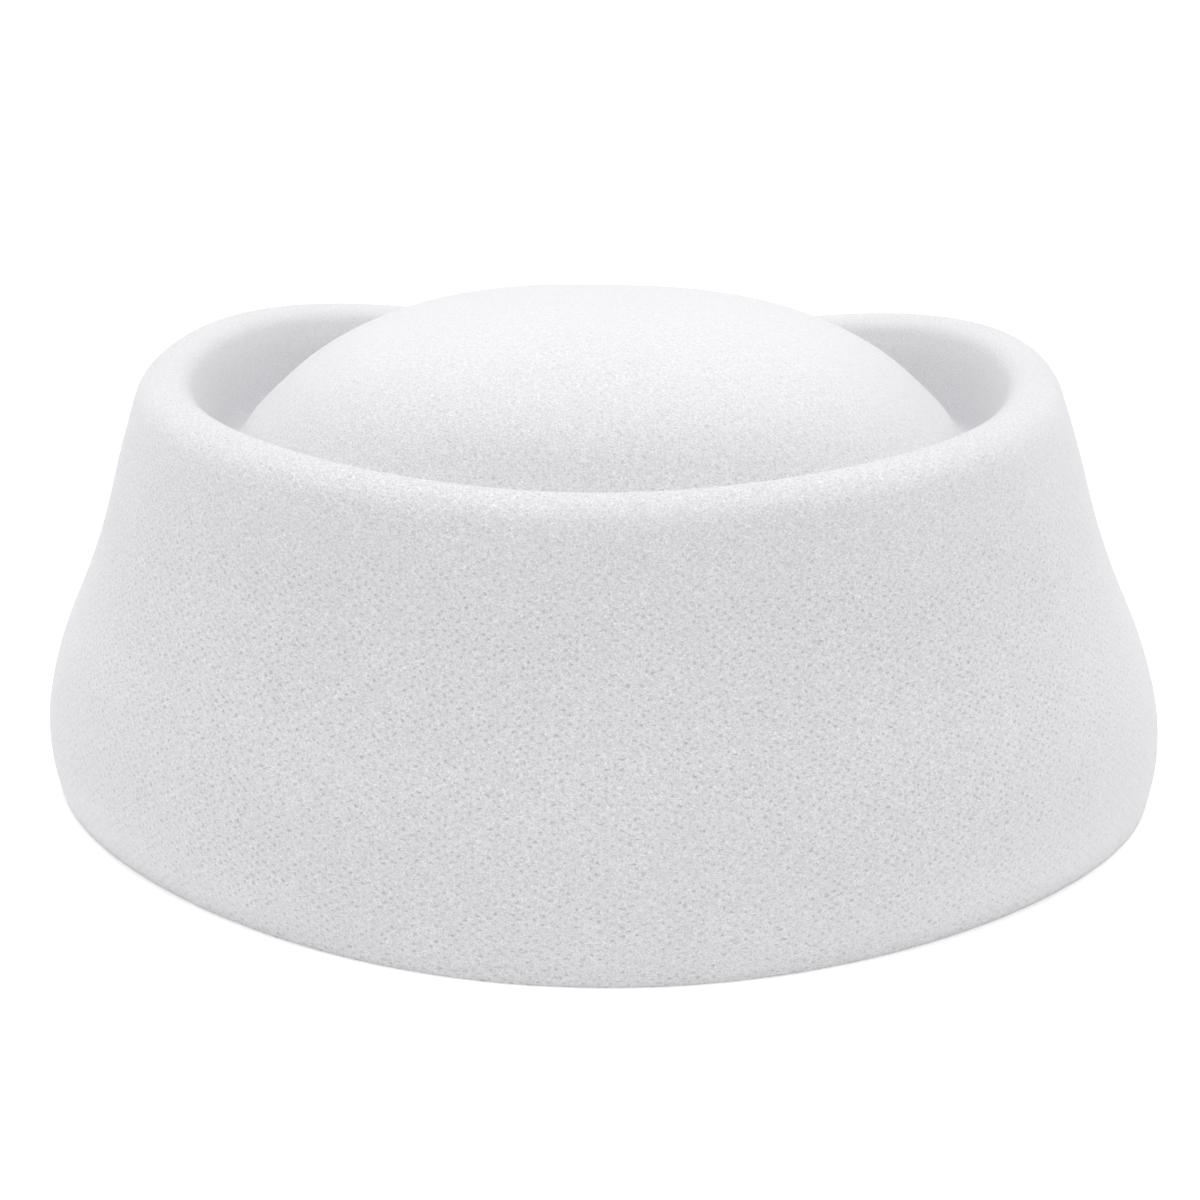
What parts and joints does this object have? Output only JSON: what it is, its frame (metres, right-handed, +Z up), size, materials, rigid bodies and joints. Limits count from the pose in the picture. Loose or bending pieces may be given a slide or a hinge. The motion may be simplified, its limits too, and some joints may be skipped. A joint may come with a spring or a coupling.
{
  "type": "pillbox hat",
  "caption": "Small oval pillbox hat of blocked wool felt, with a flared wall, a thick rolled rim, a groove inside it and a low domed crown, open below.",
  "frame": {"origin": "middle of the plane of the cut bottom edge, which is the plane the hat rests on", "axes": "+X along the oval's length, +Y across it towards the side with the deeper dip in the rim, +Z up through the crown"},
  "size_m": [0.2056, 0.1676, 0.088],
  "materials": {
    "felt": "matt felt with rows of small dimples and a short nap"
  },
  "bodies": {
    "root": {"felt_shell": "felt"}
  },
  "joints": []
}
